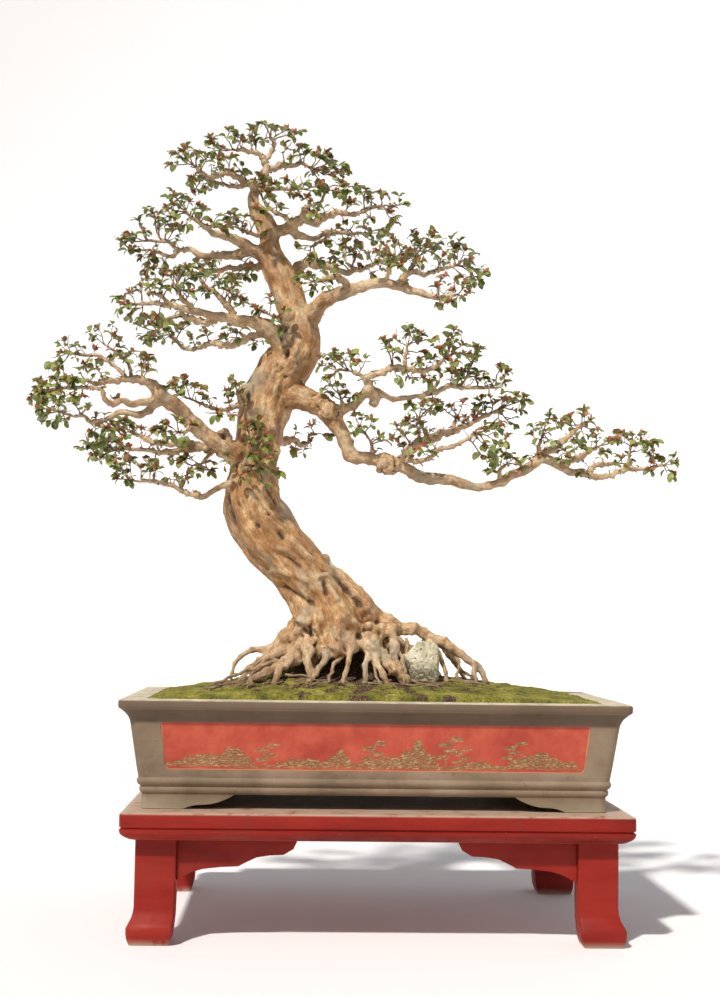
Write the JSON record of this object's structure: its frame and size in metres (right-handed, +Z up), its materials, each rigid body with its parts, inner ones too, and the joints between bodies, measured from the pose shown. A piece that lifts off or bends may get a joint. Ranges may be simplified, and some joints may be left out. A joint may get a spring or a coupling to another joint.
{
  "type": "crape myrtle bonsai tree",
  "caption": "Crape myrtle bonsai with a curved bare trunk, exposed roots and leafy branch pads, in a rectangular unglazed pot on a low wooden stand.",
  "frame": {"origin": "middle of the floor rectangle that the whole object covers, at the bottom of the stand's feet", "axes": "+Z up along the trunk, +X towards the tree's right as seen from the front, -Y towards the viewer at the front"},
  "size_m": [1.2372, 0.598, 1.5232],
  "materials": {
    "bark": "smooth peeling tan bark",
    "leaf": "satin olive green leaves",
    "soil": "potting soil under moss",
    "rock": "rough lichened stone",
    "pot": "matt unglazed stoneware with painted panels",
    "screen": "matt plastic mesh",
    "stand": "red lacquer with worn edges"
  },
  "bodies": {
    "root": {"drain_screen_left": "screen", "drain_screen_right": "screen", "pot": "pot", "rock": "rock", "soil": "soil", "spray_back": "leaf", "spray_crown": "leaf", "spray_leader_right": "leaf", "spray_left_high_back": "leaf", "spray_left_high_end": "leaf", "spray_left_high_low": "leaf", "spray_left_high_near": "leaf", "spray_left_mid_bottom": "leaf", "spray_left_mid_end": "leaf", "spray_left_mid_low": "leaf", "spray_left_mid_top": "leaf", "spray_left_mid_upper": "leaf", "spray_low_left_back": "leaf", "spray_low_left_bottom": "leaf", "spray_low_left_far": "leaf", "spray_low_left_inner": "leaf", "spray_low_left_low": "leaf", "spray_low_left_over": "leaf", "spray_low_left_up": "leaf", "spray_right_back_end": "leaf", "spray_right_behind": "leaf", "spray_right_elbow_tuft": "leaf", "spray_right_end": "leaf", "spray_right_end_up": "leaf", "spray_right_front": "leaf", "spray_right_front_end": "leaf", "spray_right_high_end": "leaf", "spray_right_high_low": "leaf", "spray_right_inner_low": "leaf", "spray_right_inner_tuft": "leaf", "spray_right_inner_up": "leaf", "spray_right_top_end": "leaf", "spray_right_top_inner": "leaf", "spray_right_top_left": "leaf", "spray_right_top_up": "leaf", "spray_right_under_tuft": "leaf", "spray_top_left": "leaf", "spray_top_right": "leaf", "spray_trunk_front": "leaf", "spray_trunk_tuft": "leaf", "stand_board": "stand", "stand_bracket_back_left": "stand", "stand_bracket_back_right": "stand", "stand_bracket_front_left": "stand", "stand_bracket_front_right": "stand", "stand_leg_back_left": "stand", "stand_leg_back_right": "stand", "stand_leg_front_left": "stand", "stand_leg_front_right": "stand", "stand_side_bracket_back_left": "stand", "stand_side_bracket_back_right": "stand", "stand_side_bracket_front_left": "stand", "stand_side_bracket_front_right": "stand", "tree_wood": "bark"}
  },
  "joints": []
}
